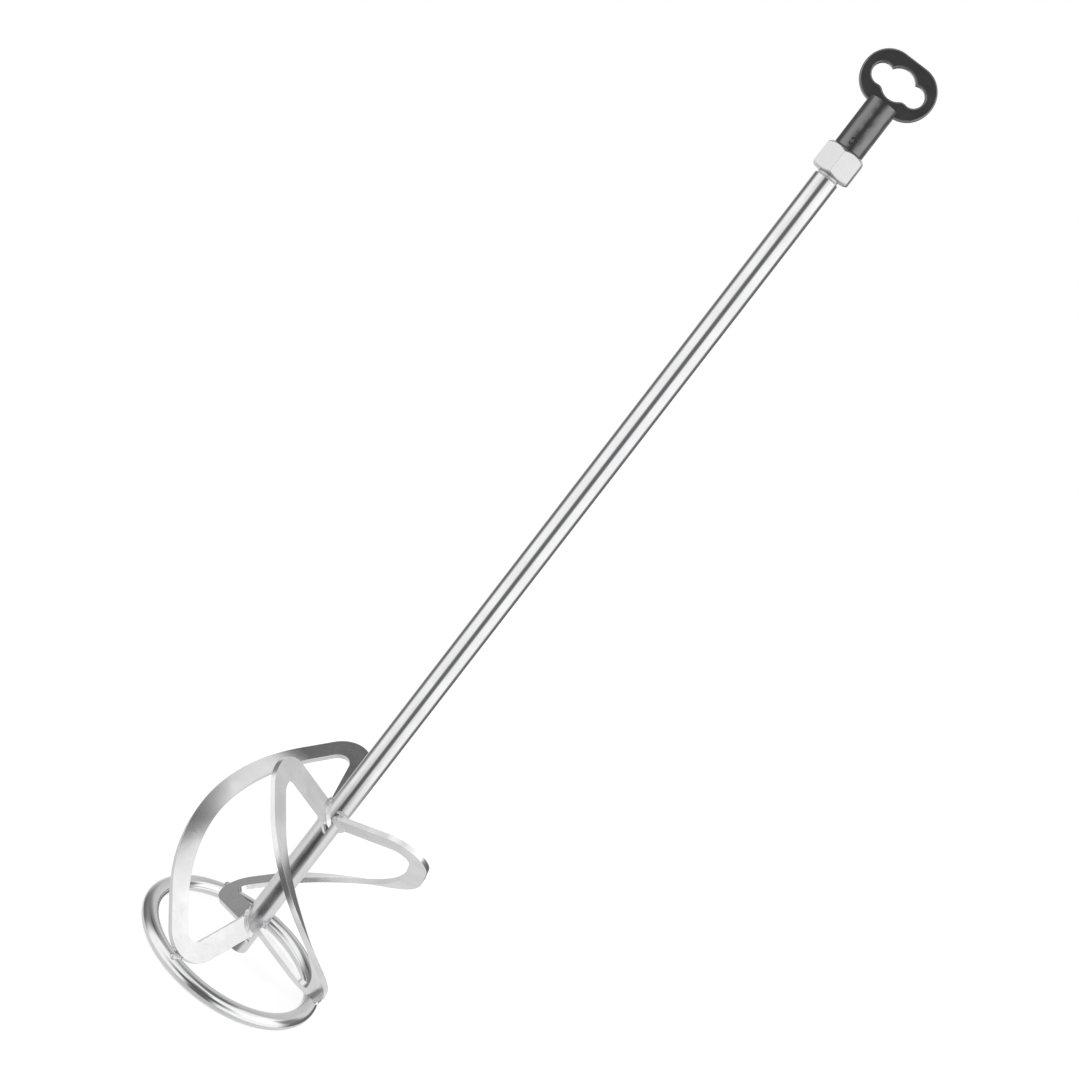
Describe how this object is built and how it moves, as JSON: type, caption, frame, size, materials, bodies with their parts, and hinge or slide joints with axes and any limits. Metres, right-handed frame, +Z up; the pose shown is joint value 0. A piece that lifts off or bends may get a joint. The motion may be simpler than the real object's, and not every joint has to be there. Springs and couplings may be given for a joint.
{
  "type": "mortar mixing paddle",
  "caption": "Drill-driven mixing paddle: round shaft with a hexagon and threaded stud, helical flat-steel loop blades on a bottom ring, and a plastic thread cap with a hanging eye.",
  "frame": {"origin": "centre of the bottom ring, on the plane of its underside, under the shaft's axis", "axes": "+Z up along the shaft from the ring to the hanging eye; -Y is the front, which the flat of the hanging eye faces; +X to the right"},
  "size_m": [0.1272, 0.1261, 0.6173],
  "materials": {
    "plated_bar": "bright plated, polished",
    "plated_hub": "bright plated, satin",
    "plated_strip": "bright plated, satin",
    "weld_metal": "plated weld bead, uneven",
    "black_plastic": "satin moulded"
  },
  "bodies": {
    "paddle": {"shaft": "plated_bar", "drive_hub": "plated_hub", "hub_weld": "weld_metal", "blade_a": "plated_strip", "blade_b": "plated_strip", "blade_c": "plated_strip", "bottom_ring": "plated_bar", "upper_arm_welds": "weld_metal", "lower_arm_welds": "weld_metal", "ring_welds": "weld_metal"},
    "cap": {"cap": "black_plastic"}
  },
  "joints": [
    {"name": "cap_pull", "type": "slide", "parent": "paddle", "child": "cap", "axis": [0, 0, 1], "range_m": [0, 0.037]}
  ]
}
